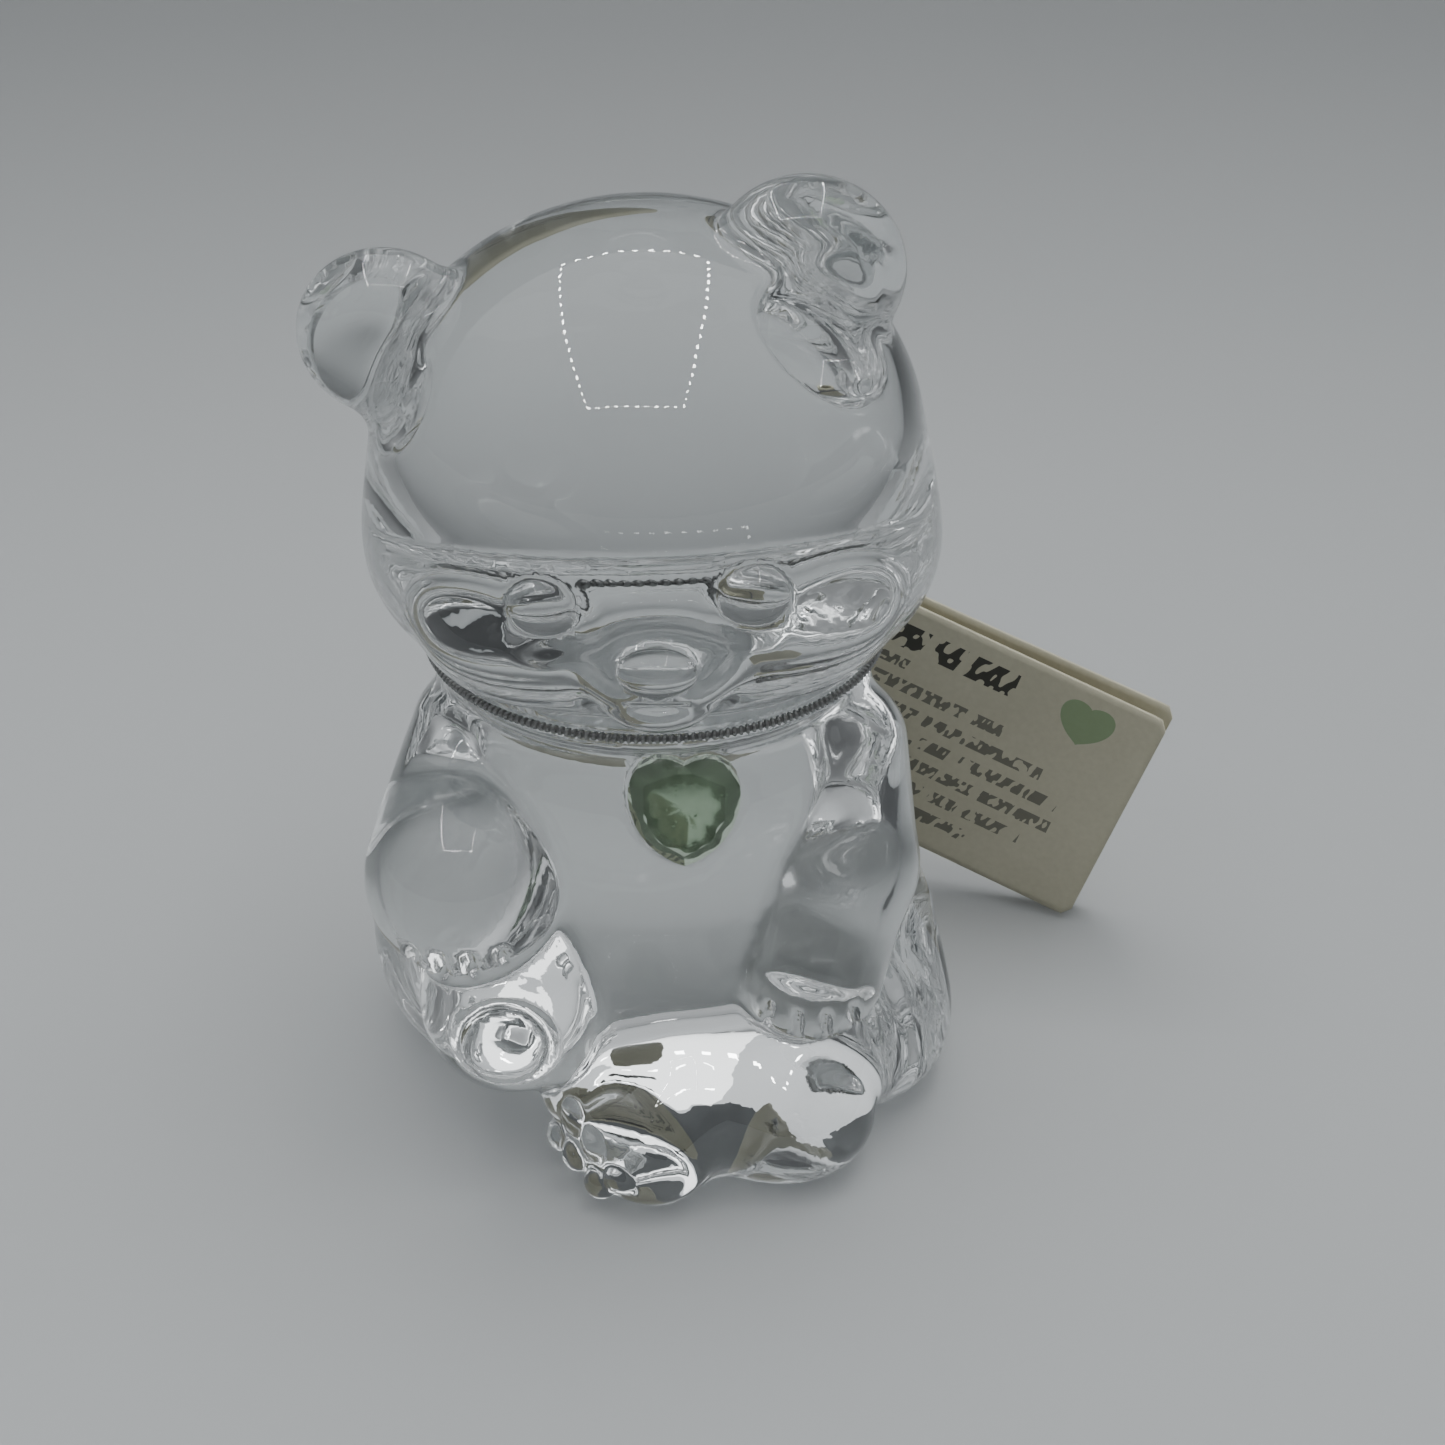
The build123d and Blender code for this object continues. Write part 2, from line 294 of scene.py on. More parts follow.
# %% Field helpers
def turn_matrix(turn):
    ax, ay, az = (math.radians(v) for v in turn)
    rx = np.array([[1, 0, 0], [0, math.cos(ax), -math.sin(ax)], [0, math.sin(ax), math.cos(ax)]])
    ry = np.array([[math.cos(ay), 0, math.sin(ay)], [0, 1, 0], [-math.sin(ay), 0, math.cos(ay)]])
    rz = np.array([[math.cos(az), -math.sin(az), 0], [math.sin(az), math.cos(az), 0], [0, 0, 1]])
    return rz @ ry @ rx


def egg(p, centre, radii, turn=(0, 0, 0)):
    q = p - np.array(centre)
    if any(turn):
        q = q @ turn_matrix(turn)
    r = np.array(radii, float)
    near = np.sqrt(((q / r) ** 2).sum(-1))
    slope = np.sqrt(((q / (r * r)) ** 2).sum(-1)) + 1e-9
    return near * (near - 1) / slope


def rod(p, start, end, r_start, r_end):
    a, b = np.array(start, float), np.array(end, float)
    ab = b - a
    t = np.clip(((p - a) @ ab) / (ab @ ab), 0, 1)
    q = p - a - t[..., None] * ab
    return np.sqrt((q * q).sum(-1)) - (r_start + (r_end - r_start) * t)


def ring(p, centre, axis, major, minor):
    q = p - np.array(centre)
    h = q @ np.array(axis)
    flat = np.sqrt(np.maximum((q * q).sum(-1) - h * h, 0))
    return np.sqrt((flat - major) ** 2 + h * h) - minor


def soft_join(a, b, k):
    h = np.clip(0.5 + 0.5 * (b - a) / k, 0, 1)
    return b * (1 - h) + a * h - k * h * (1 - h)


def soft_cut(a, b, k):
    return -soft_join(-a, b, k)


print("field helpers ready")

# %% Torso and head as lists of eggs
# each row: centre, radii, turn in degrees, softness of the join; a leading "-" row cuts
TORSO = [
    ("+", (0, 0.3, 20), (23.5, 22.8, 27), (0, 0, 0), 0.1),
    ("+", (0, -2, 36), (20.5, 19, 13.5), (0, 0, 0), 4.0),
    ("+", (-15, 1, 10.5), (13.3, 15.5, 15.0), (0, 0, 0), 3.0),
    ("+", (14, -0.5, 9.5), (13.4, 15.5, 14.0), (0, 0, 0), 3.0),
]
HEAD = [
    ("+", (-0.3, 0.8, 64), (24.2, 22.5, 21.2), (0, 0, 0), 0.1),
    ("+", (0.2, -4.6, 57.6), (24.9, 18.6, 12.6), (8, 0, 0), 4.5),
    ("+", (-9.8, -15, 55.6), (9.2, 7.8, 6.6), (0, 0, 0), 2.0),
    ("+", (11, -14.6, 56.6), (9.2, 7.8, 6.6), (0, 0, 0), 2.0),
    ("+", (0.9, -20.6, 55.2), (6.4, 6.0, 4.9), (0, 0, 0), 2.0),
    ("+", (0.9, -22.6, 53.0), (4.6, 3.6, 2.4), (0, 0, 0), 0.5),
    ("-", (0.9, -27.4, 54.4), (4.2, 1.8, 0.55), (0, 0, 0), 0.5),
    ("+", (0.9, -26.2, 57.9), (3.3, 1.9, 2.1), (0, 0, 0), 0.25),
    ("-", (-8.2, -24.4, 60.5), (4.5, 2.8, 4.1), (0, 0, 0), 1.0),
    ("+", (-8.2, -20.9, 60.9), (3.1, 2.0, 2.5), (0, 0, 0), 0.2),
    ("-", (8.6, -24.4, 61.6), (4.5, 2.8, 4.1), (0, 0, 0), 1.0),
    ("+", (8.6, -20.9, 62.0), (3.1, 2.0, 2.5), (0, 0, 0), 0.2),
]
EARS = [
    ("+", (-22.2, -0.5, 75.2), (7.6, 4.6, 7.5), (0, -25, 0), 2.2),
    ("-", (-23.4, -8.2, 74.2), (5.8, 4.7, 5.8), (0, 0, 0), 1.2),
    ("+", (13.2, 0.6, 80.4), (8.4, 5.2, 8.3), (0, 25, 0), 1.6),
    ("-", (15.2, -8.0, 79.2), (6.4, 4.9, 6.4), (0, 0, 0), 1.2),
]


def build_up(p, rows):
    """Joins and cuts the rows in their order; the first row is what the rest work on."""
    d = None
    for sign, centre, radii, turn, soft in rows:
        e = egg(p, centre, radii, turn)
        if d is None:
            d = e
        elif sign == "+":
            d = soft_join(d, e, soft)
        else:
            d = soft_cut(d, e, soft)
    return d


print(len(TORSO), "torso eggs,", len(HEAD) + len(EARS), "head eggs")


# %% Legs and arms
def front_of(centre, radii, x, z):
    """The point of an egg's front skin at a given x and z."""
    left = 1 - ((x - centre[0]) / radii[0]) ** 2 - ((z - centre[2]) / radii[2]) ** 2
    return x, centre[1] - radii[1] * math.sqrt(max(left, 0.0)), z


def claw_grooves(p, d, centre, radii, columns, top, bottom, width):
    """Cuts short upright grooves between the claws of a paw."""
    for x in columns:
        start = front_of(centre, radii, x, top)
        end = front_of(centre, radii, x, bottom)
        d = soft_cut(d, rod(p, start, end, width * 0.7, width), 0.4)
    return d


def right_leg(p):
    d = rod(p, (-16, -6, 14), (-13, -18.5, 17), 9.0, 8.2)
    d = soft_join(d, egg(p, (-13, -20.5, 19), (7.9, 6.0, 9.4), (-8, 0, 0)), 1.5)
    d = soft_join(d, egg(p, (-13.3, -25.4, 17.6), (4.3, 2.0, 4.5), (-8, 0, 0)), 0.25)
    # a shallow ring round the pad of the sole
    return soft_cut(d, ring(p, (-13.3, -26.0, 17.8), (0, -0.99, 0.14), 4.3, 0.5), 0.3)


def left_leg(p):
    d = rod(p, (19, -9.5, 7.4), (3, -21.8, 7.2), 9.2, 7.4)
    d = soft_join(d, egg(p, (10, -19, 5.6), (11, 8.5, 7.8), (0, 0, -30)), 2.0)
    d = soft_join(d, egg(p, (-2.6, -24, 5.2), (8.2, 4.8, 6.4), (0, 0, -48)), 3.0)
    toes = ((-8.4, -21.6, 6.8), (-6.9, -24.2, 7.4), (-5.0, -26.7, 6.6), (-2.9, -28.9, 4.6),
            (-8.6, -22.4, 3.6), (-7.0, -25.3, 3.9), (-4.9, -27.9, 3.0))
    for toe in toes:
        d = soft_join(d, egg(p, toe, (1.7, 1.7, 1.8)), 0.2)
    return d


def right_arm(p):
    centre, radii = (-16.8, -18.3, 31), (8.7, 8.5, 9.3)
    d = rod(p, (-15.5, -6, 38), (-17.4, -12, 32.5), 6.6, 7.3)
    d = soft_join(d, egg(p, centre, radii), 2.5)
    return claw_grooves(p, d, centre, radii, (-21.0, -18.4, -15.8, -13.2), 28.6, 23.6, 0.62)


def left_arm(p):
    centre, radii = (14.4, -18.6, 20.5), (6.6, 6.5, 6.6)
    d = rod(p, (16.2, -8, 38), (17, -14, 30), 6.7, 6.8)
    d = soft_join(d, rod(p, (16.4, -15, 28.5), (14.4, -18.6, 20.5), 6.8, 6.5), 2.0)
    return claw_grooves(p, d, centre, radii, (10.4, 12.9, 15.4, 17.9), 20.6, 15.6, 0.6)


print("legs and arms ready")

# %% Neck groove, stone recess and base
NECK_Z, NECK_TILT, RING_R, CORD_R = 45.6, math.radians(5), 20.6, 0.45
gem_low, gem_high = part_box("heart_gem")
print("stone box, mm:", [round(v / MM, 1) for v in (*gem_low, *gem_high)])
GEM_TILT = math.radians(20)
GEM_AT = Vector((2.9, -20.3, 39.8))
GEM_OUT = Vector((0, -math.cos(GEM_TILT), math.sin(GEM_TILT)))
GEM_UP = Vector((0, math.sin(GEM_TILT), math.cos(GEM_TILT)))
# heights along the stone's own axis, from its middle
STONE_TABLE, GIRDLE_TOP, GIRDLE_FOOT, STONE_BACK = 1.2, 0.45, -1.1, -1.42
BUBBLE_LEVEL, GLUE_FRONT, GLUE_BACK, RECESS_FLOOR = -1.44, -1.46, -1.59, -1.6
RECESS_GAP = 0.35


def neck_groove(p):
    up = (0, math.sin(NECK_TILT), math.cos(NECK_TILT))
    return ring(p, (0, 0, NECK_Z), up, RING_R, CORD_R + 0.3)


# the stone's outline: angle from the top in degrees, distance from the middle in millimetres
HEART_ANGLE = np.array([0, 5, 14.6, 28.7, 43.6, 59.5, 76, 97.8, 125.2, 154, 172, 180.0])
HEART_REACH = np.array([4.05, 4.25, 4.75, 5.35, 5.6, 5.45, 5.0, 4.5, 4.3, 4.42, 4.75, 4.95])


def heart(p, grow):
    """Distance to a heart-shaped hole that runs out of the chest."""
    q = p - np.array(GEM_AT)
    x, y, z = np.abs(q[..., 0]), q @ np.array(GEM_UP), q @ np.array(GEM_OUT)
    reach = np.interp(np.degrees(np.arctan2(x, y)), HEART_ANGLE, HEART_REACH)
    outline = np.sqrt(x * x + y * y) - reach - grow
    return np.maximum(outline, RECESS_FLOOR - z)


def bear_field(p):
    d = build_up(p, TORSO)
    d = soft_join(d, right_leg(p), 1.5)
    d = soft_join(d, left_leg(p), 4.5)
    d = soft_join(d, right_arm(p), 1.2)
    d = soft_join(d, left_arm(p), 1.2)
    collar = egg(p, (0, 0, NECK_Z), (RING_R - 0.2, RING_R - 0.2, 6.5), (-5, 0, 0))
    d = soft_join(d, collar, 2.5)
    d = soft_join(d, build_up(p, HEAD + EARS), 0.8)
    d = soft_cut(d, neck_groove(p), 0.25)
    d = soft_cut(d, heart(p, RECESS_GAP), 0.15)
    # flat ground base with a small rounded edge
    return -soft_join(-d, p[..., 2], 0.5)


print("bear field ready")

# %% Sample the field and make the mesh
STEP = 0.5
low = np.array([math.floor(v / MM) - 2.0 for v in glass_low])
high = np.array([math.ceil(v / MM) + 2.0 for v in glass_high])
counts = ((high - low) / STEP).astype(int) + 1
axes = [low[k] + STEP * np.arange(counts[k]) for k in range(3)]
grid = np.empty(tuple(counts), np.float32)
for k in range(0, counts[2], 12):
    part = np.stack(np.meshgrid(axes[0], axes[1], axes[2][k:k + 12], indexing="ij"), -1)
    grid[:, :, k:k + 12] = bear_field(part)
volume = openvdb.FloatGrid(10.0)
volume.copyFromArray(grid)
points, quads = volume.convertToQuads(isovalue=0.0)
points = low + points.astype(float) * STEP
print("grid", tuple(counts), "->", len(points), "points,", len(quads), "quads")


# %% Move each vertex onto the surface and build the bear
def slide_onto(points, field, rounds=3, eps=0.05):
    for _ in range(rounds):
        value = field(points)
        slope = np.empty_like(points)
        for k in range(3):
            shift = np.zeros(3)
            shift[k] = eps
            slope[:, k] = (field(points + shift) - field(points - shift)) / (2 * eps)
        size = (slope * slope).sum(1) + 1e-6
        move = -(value / size)[:, None] * slope
        points = points + np.clip(move, -0.3, 0.3)
    return points


points = slide_onto(points, bear_field)
bear = new_object("bear_casting", points * MM, quads)
bear.data.materials.append(glass)
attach(bear, "figurine")
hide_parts("glass_bear")
print("bear", len(bear.data.vertices), "vertices")

# %% [markdown]
# ## Heart stone
# The stone is a pale green flat-backed heart with a many-sided table and a ring of bevels.
# It is built facet by facet and shaded flat, because a smoothed stone loses its sparkle.
# The facet pattern follows a rule: every side of the table looks down on four girdle points,
# so nine sides give forty-five bevel facets.

# %% Green glass material
green, tree, shader = new_material("green_glass")
shader.inputs["Base Color"].default_value = (0.86, 0.975, 0.80, 1)
shader.inputs["Transmission Weight"].default_value = 1.0
shader.inputs["IOR"].default_value = 1.56
shader.inputs["Roughness"].default_value = 0.02
add_bump(tree, shader, add_noise(tree, 900.0), 0.05, 0.0001)
print("green glass ready")


# %% Heart stone mesh
def on_stone(x, y, z):
    return GEM_AT + Vector((x, 0, 0)) + GEM_UP * y + GEM_OUT * z


def heart_edge(direction, grow=0.0, shrink=1.0):
    """A point of the heart's outline at an angle from its top."""
    angle = abs((math.degrees(direction) + 180) % 360 - 180)
    reach = float(np.interp(angle, HEART_ANGLE, HEART_REACH)) * shrink + grow
    return math.sin(direction) * reach, math.cos(direction) * reach


TABLE_ANGLES = (12, 55, 100, 140, 180, 222, 262, 305, 348)
count = len(TABLE_ANGLES)
verts = [on_stone(*heart_edge(math.radians(a), 0.0, 0.78), STONE_TABLE) for a in TABLE_ANGLES]
girdle = []
for k in range(count):
    a0 = TABLE_ANGLES[k]
    a1 = TABLE_ANGLES[(k + 1) % count] + (360 if k == count - 1 else 0)
    girdle += [heart_edge(math.radians(a0 + (a1 - a0) * t / 4)) for t in range(4)]
for z, shrink in ((GIRDLE_TOP, 1.0), (GIRDLE_FOOT, 1.0), (STONE_BACK, 0.97)):
    verts += [on_stone(x * shrink, y * shrink, z) for x, y in girdle]
faces = [tuple(range(count))[::-1]]
m = 4 * count
for k in range(count):
    j = (k + 1) % count
    g = [count + (4 * k + t) % m for t in range(5)]
    faces += [(k, g[0], g[1]), (k, g[1], g[2]), (k, g[2], j), (j, g[2], g[3]), (j, g[3], g[4])]
for level in (0, 1):
    for k in range(m):
        a = count + level * m + k
        b = count + level * m + (k + 1) % m
        faces.append((a, a + m, b + m, b))
faces.append(tuple(range(count + 2 * m, count + 3 * m)))
gem = new_object("heart_stone", [v * MM for v in verts], faces, smooth=False)
work = bmesh.new()
work.from_mesh(gem.data)
bmesh.ops.recalc_face_normals(work, faces=work.faces)
work.to_mesh(gem.data)
work.free()
gem.data.materials.append(green)
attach(gem, "figurine")
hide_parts("heart_gem")
print("stone", len(gem.data.polygons), "facets")

# %% [markdown]
# ## Glue behind the stone
# The stone has no foil, so its glue shows through it: a thin clear film with a scatter of
# small trapped bubbles. The film is a slightly ragged patch; the bubbles are scattered on it
# by Geometry Nodes with a fixed seed, so they never move between runs.

# %% Adhesive material
clear_glue, tree, shader = new_material("clear_adhesive")
shader.inputs["Base Color"].default_value = (0.86, 0.95, 0.86, 1)
shader.inputs["Transmission Weight"].default_value = 0.9
shader.inputs["IOR"].default_value = 1.45
shader.inputs["Roughness"].default_value = 0.22
add_bump(tree, shader, add_noise(tree, 1400.0), 0.4, 0.0001)

# %% Glue film
RIM_STEPS = 60
rim = []
for k in range(RIM_STEPS):
    a = 2 * math.pi * k / RIM_STEPS
    ragged = -0.75 + 0.18 * math.sin(5 * a + 1) + 0.12 * math.sin(11 * a)
    rim.append(heart_edge(a, ragged))
verts = [on_stone(0, 0, GLUE_BACK), on_stone(0, 0, GLUE_FRONT)]
for level in (GLUE_BACK, GLUE_FRONT):
    verts += [on_stone(x, y, level) for x, y in rim]
faces = []
for k in range(RIM_STEPS):
    j = (k + 1) % RIM_STEPS
    back_k, back_j, front_k, front_j = 2 + k, 2 + j, 2 + RIM_STEPS + k, 2 + RIM_STEPS + j
    faces += [(0, back_k, back_j), (1, front_j, front_k), (back_k, front_k, front_j, back_j)]
glue = new_object("glue_film", [v * MM for v in verts], faces)
glue.data.materials.append(clear_glue)
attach(glue, "figurine")
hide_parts("gem_adhesive")
print("glue film", len(glue.data.polygons), "faces")


# %% Helper: sockets of a node tree
def tree_input(tree, name, kind, value=None):
    made = tree.interface.new_socket(name=name, in_out="INPUT", socket_type=kind)
    if value is not None:
        made.default_value = value
    return made.identifier


def node(tree, kind, **values):
    made = tree.nodes.new(kind)
    for name, value in values.items():
        setattr(made, name, value)
    return made


def run_tree(source, tree, values, name):
    """Applies a tree to an object and returns the result as a plain mesh object."""
    modifier = source.modifiers.new("maker", "NODES")
    modifier.node_group = tree
    for key, value in values.items():
        modifier[key] = value
    bpy.context.view_layer.update()
    graph = bpy.context.evaluated_depsgraph_get()
    mesh = bpy.data.meshes.new_from_object(source.evaluated_get(graph))
    source.modifiers.remove(modifier)
    mesh.name = name
    made = bpy.data.objects.new(name, mesh)
    bpy.context.scene.collection.objects.link(made)
    return made


# %% Tree: bubbles scattered on a patch
bubbles = bpy.data.node_groups.new("scatter_bubbles", "GeometryNodeTree")
tree_input(bubbles, "Patch", "NodeSocketGeometry")
DENSITY = tree_input(bubbles, "Bubbles per square metre", "NodeSocketFloat", 1.4e6)
SMALL = tree_input(bubbles, "Smallest radius", "NodeSocketFloat", 0.00004)
LARGE = tree_input(bubbles, "Largest radius", "NodeSocketFloat", 0.00011)
FINISH = tree_input(bubbles, "Finish", "NodeSocketMaterial")
bubbles.interface.new_socket(name="Bubbles", in_out="OUTPUT", socket_type="NodeSocketGeometry")
inp = node(bubbles, "NodeGroupInput")
out = node(bubbles, "NodeGroupOutput")
spread = node(bubbles, "GeometryNodeDistributePointsOnFaces")
spread.inputs["Seed"].default_value = 7
ball = node(bubbles, "GeometryNodeMeshIcoSphere")
ball.inputs["Subdivisions"].default_value = 2
ball.inputs["Radius"].default_value = 1.0
place = node(bubbles, "GeometryNodeInstanceOnPoints")
sizes = node(bubbles, "FunctionNodeRandomValue", data_type="FLOAT")
sizes.inputs["Seed"].default_value = 3
real = node(bubbles, "GeometryNodeRealizeInstances")
paint = node(bubbles, "GeometryNodeSetMaterial")
link = bubbles.links.new
link(inp.outputs["Patch"], spread.inputs["Mesh"])
link(inp.outputs["Bubbles per square metre"], spread.inputs["Density"])
link(spread.outputs["Points"], place.inputs["Points"])
link(ball.outputs["Mesh"], place.inputs["Instance"])
link(inp.outputs["Smallest radius"], sizes.inputs[2])
link(inp.outputs["Largest radius"], sizes.inputs[3])
link(sizes.outputs[1], place.inputs["Scale"])
link(place.outputs["Instances"], real.inputs["Geometry"])
link(real.outputs["Geometry"], paint.inputs["Geometry"])
link(inp.outputs["Finish"], paint.inputs["Material"])
link(paint.outputs["Geometry"], out.inputs["Bubbles"])

# %% Bubbles in the glue
patch_rim = [heart_edge(2 * math.pi * k / 24, -2.1) for k in range(24)]
patch_verts = [on_stone(x + 0.4, y - 0.2, BUBBLE_LEVEL) * MM for x, y in patch_rim]
patch = new_object("bubble_patch", patch_verts, [tuple(range(24))])
values = {DENSITY: 1.4e6, SMALL: 0.00004, LARGE: 0.00011, FINISH: clear_glue}
trapped = run_tree(patch, bubbles, values, "glue_bubbles")
bpy.data.objects.remove(patch)
trapped.data.polygons.foreach_set("use_smooth", [True] * len(trapped.data.polygons))
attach(trapped, "figurine")
print("bubbles", len(trapped.data.polygons) // 80)

# %% [markdown]
# ## Neck cord, knot and tie
# The cord is a thin elastic core wound with silver foil yarn; each turn shows as one bright
# bead. Winding is a repeated shape along a path, which is what Geometry Nodes do well: the
# tree resamples a path by the pitch and puts one leaning turn of yarn at each point.

# %% Silver yarn material
silver, tree, shader = new_material("silver_wrap")
shader.inputs["Metallic"].default_value = 1.0
noise = add_noise(tree, 3200.0, 3.0)
ramp = add_ramp(tree, noise, (0.10, 0.10, 0.10), (0.52, 0.52, 0.51))
tree.links.new(ramp.outputs["Color"], shader.inputs["Base Color"])
rough = tree.nodes.new("ShaderNodeMapRange")
rough.inputs["To Min"].default_value = 0.18
rough.inputs["To Max"].default_value = 0.42
tree.links.new(noise, rough.inputs["Value"])
tree.links.new(rough.outputs["Result"], shader.inputs["Roughness"])
add_bump(tree, shader, noise, 0.5, 0.00005)

# %% Elastic core material
elastic, tree, shader = new_material("elastic")
ramp = add_ramp(tree, add_noise(tree, 5000.0), (0.10, 0.10, 0.10), (0.20, 0.20, 0.19))
tree.links.new(ramp.outputs["Color"], shader.inputs["Base Color"])
shader.inputs["Roughness"].default_value = 0.6
print("cord materials ready")

# %% Tree: yarn wound along a path
winding = bpy.data.node_groups.new("wind_yarn", "GeometryNodeTree")
tree_input(winding, "Path", "NodeSocketGeometry")
PITCH = tree_input(winding, "Pitch", "NodeSocketFloat", 0.0006)
TURN = tree_input(winding, "Turn radius", "NodeSocketFloat", 0.00027)
YARN = tree_input(winding, "Yarn radius", "NodeSocketFloat", 0.00017)
LEAN = tree_input(winding, "Lean", "NodeSocketFloat", 0.5)
YARN_FINISH = tree_input(winding, "Finish", "NodeSocketMaterial")
winding.interface.new_socket(name="Winding", in_out="OUTPUT", socket_type="NodeSocketGeometry")
inp = node(winding, "NodeGroupInput")
out = node(winding, "NodeGroupOutput")
steps = node(winding, "GeometryNodeResampleCurve", mode="LENGTH")
tangent = node(winding, "GeometryNodeInputTangent")
align = node(winding, "FunctionNodeAlignRotationToVector", axis="Z")
turn = node(winding, "GeometryNodeCurvePrimitiveCircle")
turn.inputs["Resolution"].default_value = 10
yarn = node(winding, "GeometryNodeCurvePrimitiveCircle")
yarn.inputs["Resolution"].default_value = 6
tube = node(winding, "GeometryNodeCurveToMesh")
leaning = node(winding, "GeometryNodeTransform")
angle = node(winding, "ShaderNodeCombineXYZ")
place = node(winding, "GeometryNodeInstanceOnPoints")
real = node(winding, "GeometryNodeRealizeInstances")
smooth = node(winding, "GeometryNodeSetShadeSmooth")
paint = node(winding, "GeometryNodeSetMaterial")
link = winding.links.new
link(inp.outputs["Path"], steps.inputs["Curve"])
link(inp.outputs["Pitch"], steps.inputs["Length"])
link(steps.outputs["Curve"], place.inputs["Points"])
link(tangent.outputs["Tangent"], align.inputs["Vector"])
link(align.outputs["Rotation"], place.inputs["Rotation"])
link(inp.outputs["Turn radius"], turn.inputs["Radius"])
link(inp.outputs["Yarn radius"], yarn.inputs["Radius"])
link(turn.outputs["Curve"], tube.inputs["Curve"])
link(yarn.outputs["Curve"], tube.inputs["Profile Curve"])
link(tube.outputs["Mesh"], leaning.inputs["Geometry"])
link(inp.outputs["Lean"], angle.inputs["X"])
link(angle.outputs["Vector"], leaning.inputs["Rotation"])
link(leaning.outputs["Geometry"], place.inputs["Instance"])
link(place.outputs["Instances"], real.inputs["Geometry"])
link(real.outputs["Geometry"], smooth.inputs["Geometry"])
link(smooth.outputs["Geometry"], paint.inputs["Geometry"])
link(inp.outputs["Finish"], paint.inputs["Material"])
link(paint.outputs["Geometry"], out.inputs["Winding"])
print("winding tree", len(winding.nodes), "nodes")


# %% Helpers: a path, and a plain tube along it
def new_path(name, points, closed=False, bevel=0.0):
    data = bpy.data.curves.new(name, "CURVE")
    data.dimensions = "3D"
    line = data.splines.new("NURBS")
    line.points.add(len(points) - 1)
    for spot, p in zip(line.points, points):
        spot.co = (*(Vector(p) * MM), 1)
    line.order_u = 3
    line.use_cyclic_u = closed
    line.use_endpoint_u = not closed
    line.resolution_u = 6
    data.bevel_depth = bevel * MM
    data.bevel_resolution = 3
    data.use_fill_caps = True
    made = bpy.data.objects.new(name, data)
    bpy.context.scene.collection.objects.link(made)
    return made


def tube_along(name, points, radius, finish, closed=False):
    """A solid round tube as a plain mesh."""
    path = new_path("tube_path", points, closed, radius)
    graph = bpy.context.evaluated_depsgraph_get()
    bpy.context.view_layer.update()
    mesh = bpy.data.meshes.new_from_object(path.evaluated_get(graph))
    bpy.data.objects.remove(path)
    mesh.name = name
    mesh.materials.clear()
    mesh.materials.append(finish)
    made = bpy.data.objects.new(name, mesh)
    bpy.context.scene.collection.objects.link(made)
    return made


def wound_along(name, points, turn, yarn, pitch, closed=False):
    """Yarn wound along a path, as a plain mesh."""
    path = new_path("yarn_path", points, closed)
    values = {PITCH: pitch * MM, TURN: turn * MM, YARN: yarn * MM, LEAN: 0.45, YARN_FINISH: silver}
    made = run_tree(path, winding, values, name)
    bpy.data.objects.remove(path)
    return made


# %% Neck cord
tilt_y = Vector((0, math.cos(NECK_TILT), -math.sin(NECK_TILT)))
RING_STEPS = 48
ring_points = []
for k in range(RING_STEPS):
    a = 2 * math.pi * k / RING_STEPS
    # control points of an order-3 spline stand a little outside the circle it draws
    r = RING_R / math.cos(math.pi / RING_STEPS)
    ring_points.append(Vector((r * math.cos(a), 0, NECK_Z)) + tilt_y * (r * math.sin(a)))
cord = wound_along("neck_cord_winding", ring_points, 0.26, 0.19, 0.60, closed=True)
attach(cord, "neck_cord")
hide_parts("neck_cord_wrap")
core = frame["nodes"]["neck_cord_core"]
core.data.materials.clear()
core.data.materials.append(elastic)
print("cord winding", len(cord.data.polygons), "faces, width",
      round(max(v.co.x for v in cord.data.vertices) / MM, 2))

# %% Places that come from the joints
joint = {j["name"]: j for j in frame["joints"]}
KNOT = Vector(joint["tie_lift"]["pos_m"]) / MM
HOLE = Vector(joint["tag_swing"]["pos_m"]) / MM
CREASE = Vector(joint["tag_open"]["pos_m"]) / MM
OUT = -Vector(joint["tag_swing"]["axis"]).normalized()
RISE = Vector(joint["tag_open"]["axis"]).normalized()
LEVEL = Vector(joint["tie_lift"]["axis"]).normalized()
ALONG = -RISE.cross(OUT)
UP = Vector((0, 0, 1))
print("knot", [round(v, 1) for v in KNOT], "hole", [round(v, 1) for v in HOLE])

# %% Knot: one loose overhand turn pulled tight
knot_path = []
for k in range(28):
    t = 2 * math.pi * k / 28
    x = 0.27 * (math.sin(t) + 2 * math.sin(2 * t))
    y = 0.27 * (math.cos(t) - 2 * math.cos(2 * t))
    z = -0.42 * math.sin(3 * t)
    knot_path.append(KNOT + LEVEL * x + UP * y + OUT * (z + 0.1))
knot_core = tube_along("knot_core", knot_path, 0.24, elastic, closed=True)
knot = wound_along("knot_winding", knot_path, 0.26, 0.13, 0.42, closed=True)
for piece in (knot_core, knot):
    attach(piece, "neck_cord")
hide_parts("cord_knot")
print("knot", len(knot.data.polygons), "faces")

# %% Two cut ends
for side, lift, name in ((1, 0.9, "cord_end_a"), (-1, 0.7, "cord_end_b")):
    way = (OUT * 0.7 + LEVEL * side + UP * lift).normalized()
    bend = UP * -0.35
    points = [KNOT + way * d + bend * (d / 5.2) ** 2 for d in (0.9, 2.0, 3.2, 4.4, 5.2)]
    inner = tube_along(name + "_core", points, 0.24, elastic)
    outer = wound_along(name, points, 0.26, 0.15, 0.52)
    for piece in (inner, outer):
        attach(piece, "neck_cord")
    if side == 1:
        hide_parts("cord_tails")
print("cord ends ready")

